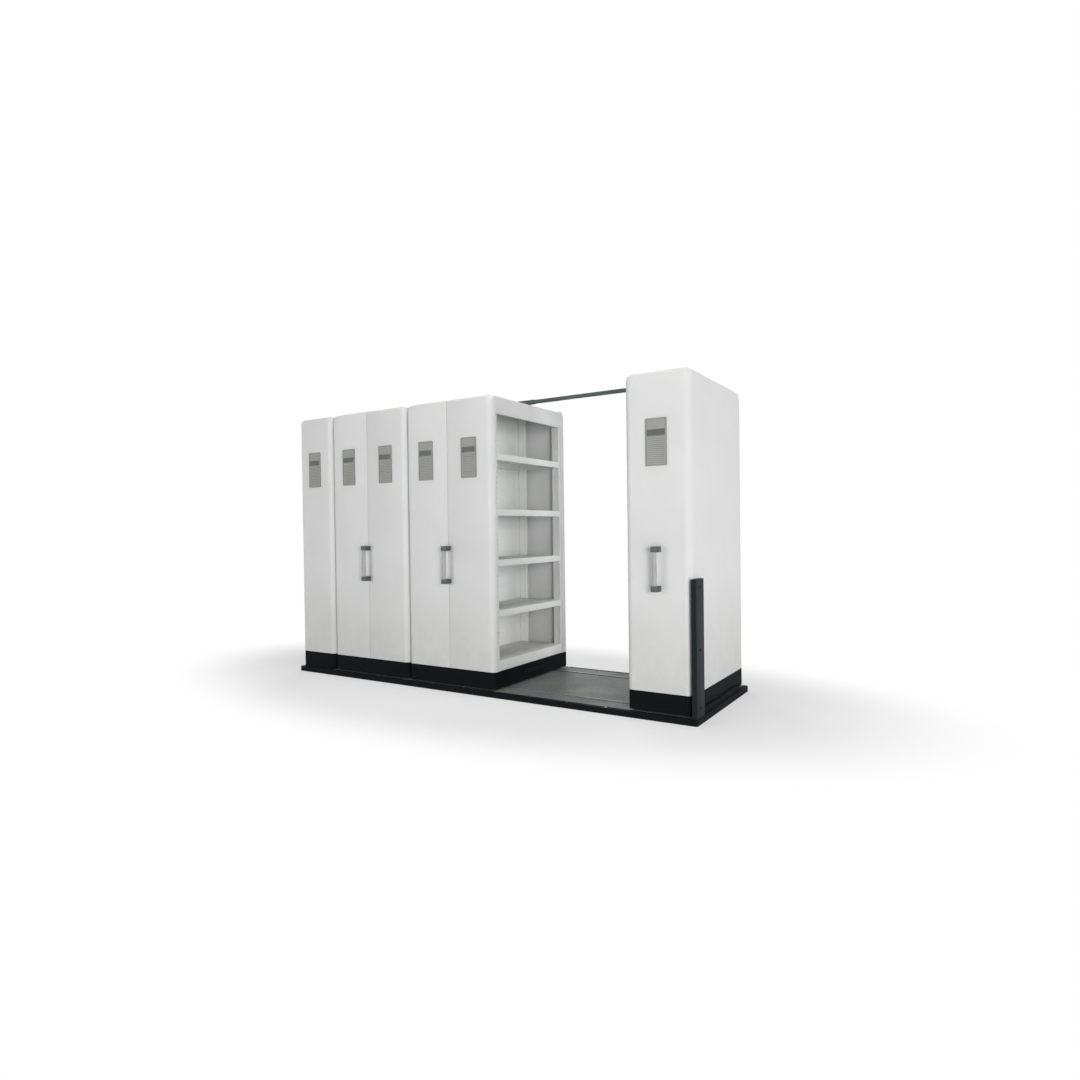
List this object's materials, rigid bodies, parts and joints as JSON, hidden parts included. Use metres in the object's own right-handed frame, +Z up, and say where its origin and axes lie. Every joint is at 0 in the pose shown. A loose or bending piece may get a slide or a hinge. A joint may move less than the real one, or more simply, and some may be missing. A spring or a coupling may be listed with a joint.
{
  "type": "compact mobile shelving",
  "caption": "Sheet-steel mobile shelving on a railed floor platform: a fixed end rack, rolling double racks and a rolling end rack around a movable aisle.",
  "frame": {"origin": "centre of the bounding box's underside, on the floor", "axes": "+X along the rails from the fixed rack towards the rolling end rack, +Y from the handled fronts to the back, +Z up"},
  "size_m": [3.64, 1.14, 2.2405],
  "materials": {
    "painted_panel": "light grey powder coat, satin",
    "painted_shelf": "light grey powder coat, satin",
    "painted_base": "near-black powder coat with a green cast",
    "deck_floor": "grey floor covering on board",
    "rail_steel": "drawn steel, worn bright on top",
    "wheel_steel": "turned steel",
    "buffer_rubber": "matt rubber",
    "handle_grey": "grey grip between darker legs",
    "label_grey": "grey card frame",
    "tie_paint": "dark grey-green paint"
  },
  "bodies": {
    "platform": {"platform_frame": "painted_base", "deck_front_strip": "deck_floor", "deck_centre": "deck_floor", "deck_rear_strip": "deck_floor", "rail_front": "rail_steel", "rail_rear": "rail_steel", "rail_end_stop": "painted_base", "end_stop_post": "painted_base", "static_base": "painted_base", "static_front_panel": "painted_panel", "static_rear_panel": "painted_panel", "static_side_cover": "painted_panel", "static_rack": "painted_shelf", "static_top": "painted_panel", "static_label_holder": "label_grey", "static_buffer": "buffer_rubber", "tie_tube_outer": "tie_paint", "static_tie_foot": "tie_paint"},
    "rack_a": {"a_carriage": "painted_base", "a_front_panel_left": "painted_panel", "a_front_panel_right": "painted_panel", "a_rear_panel": "painted_panel", "a_divider": "painted_shelf", "a_rack_left": "painted_shelf", "a_rack_right": "painted_shelf", "a_top": "painted_panel", "a_handle": "handle_grey", "a_label_holder_left": "label_grey", "a_label_holder_right": "label_grey", "a_buffer": "buffer_rubber", "a_tie_guide": "tie_paint"},
    "a_wheels_left": {"a_wheelset_left": "wheel_steel"},
    "a_wheels_right": {"a_wheelset_right": "wheel_steel"},
    "rack_b": {"b_carriage": "painted_base", "b_front_panel_left": "painted_panel", "b_front_panel_right": "painted_panel", "b_rear_panel": "painted_panel", "b_divider": "painted_shelf", "b_rack_left": "painted_shelf", "b_rack_right": "painted_shelf", "b_top": "painted_panel", "b_handle": "handle_grey", "b_label_holder_left": "label_grey", "b_label_holder_right": "label_grey", "b_buffer": "buffer_rubber", "b_tie_guide": "tie_paint"},
    "b_wheels_left": {"b_wheelset_left": "wheel_steel"},
    "b_wheels_right": {"b_wheelset_right": "wheel_steel"},
    "rack_c": {"c_carriage": "painted_base", "c_front_panel": "painted_panel", "c_rear_panel": "painted_panel", "c_side_cover": "painted_panel", "c_rack": "painted_shelf", "c_top": "painted_panel", "c_handle": "handle_grey", "c_label_holder": "label_grey", "tie_tube_inner": "tie_paint", "c_tie_foot": "tie_paint"},
    "c_wheels_left": {"c_wheelset_left": "wheel_steel"},
    "c_wheels_right": {"c_wheelset_right": "wheel_steel"}
  },
  "joints": [
    {"name": "rack_a_slide", "type": "slide", "parent": "platform", "child": "rack_a", "axis": [1, 0, 0], "range_m": [0, 0.348]},
    {"name": "a_wheels_left_spin", "type": "hinge", "parent": "rack_a", "child": "a_wheels_left", "pos_m": [-1.293, 0.02, 0.0903], "axis": [0, 1, 0], "continuous": true},
    {"name": "a_wheels_right_spin", "type": "hinge", "parent": "rack_a", "child": "a_wheels_right", "pos_m": [-0.678, 0.02, 0.0903], "axis": [0, 1, 0], "continuous": true},
    {"name": "rack_b_slide", "type": "slide", "parent": "rack_a", "child": "rack_b", "axis": [1, 0, 0], "range_m": [0, 0.348]},
    {"name": "b_wheels_left_spin", "type": "hinge", "parent": "rack_b", "child": "b_wheels_left", "pos_m": [-0.446, 0.02, 0.0903], "axis": [0, 1, 0], "continuous": true},
    {"name": "b_wheels_right_spin", "type": "hinge", "parent": "rack_b", "child": "b_wheels_right", "pos_m": [0.169, 0.02, 0.0903], "axis": [0, 1, 0], "continuous": true},
    {"name": "rack_c_slide", "type": "slide", "parent": "platform", "child": "rack_c", "axis": [1, 0, 0], "range_m": [-0.348, 0]},
    {"name": "c_wheels_left_spin", "type": "hinge", "parent": "rack_c", "child": "c_wheels_left", "pos_m": [1.447, 0.02, 0.0903], "axis": [0, 1, 0], "continuous": true},
    {"name": "c_wheels_right_spin", "type": "hinge", "parent": "rack_c", "child": "c_wheels_right", "pos_m": [1.67, 0.02, 0.0903], "axis": [0, 1, 0], "continuous": true}
  ],
  "couplings": [
    {"joint": "a_wheels_left_spin", "follows": "rack_a_slide", "rad_per_m": 22.222},
    {"joint": "a_wheels_right_spin", "follows": "rack_a_slide", "rad_per_m": 22.222},
    {"joint": "b_wheels_left_spin", "follows": "rack_b_slide", "rad_per_m": 22.222},
    {"joint": "b_wheels_right_spin", "follows": "rack_b_slide", "rad_per_m": 22.222},
    {"joint": "c_wheels_left_spin", "follows": "rack_c_slide", "rad_per_m": 22.222},
    {"joint": "c_wheels_right_spin", "follows": "rack_c_slide", "rad_per_m": 22.222}
  ]
}
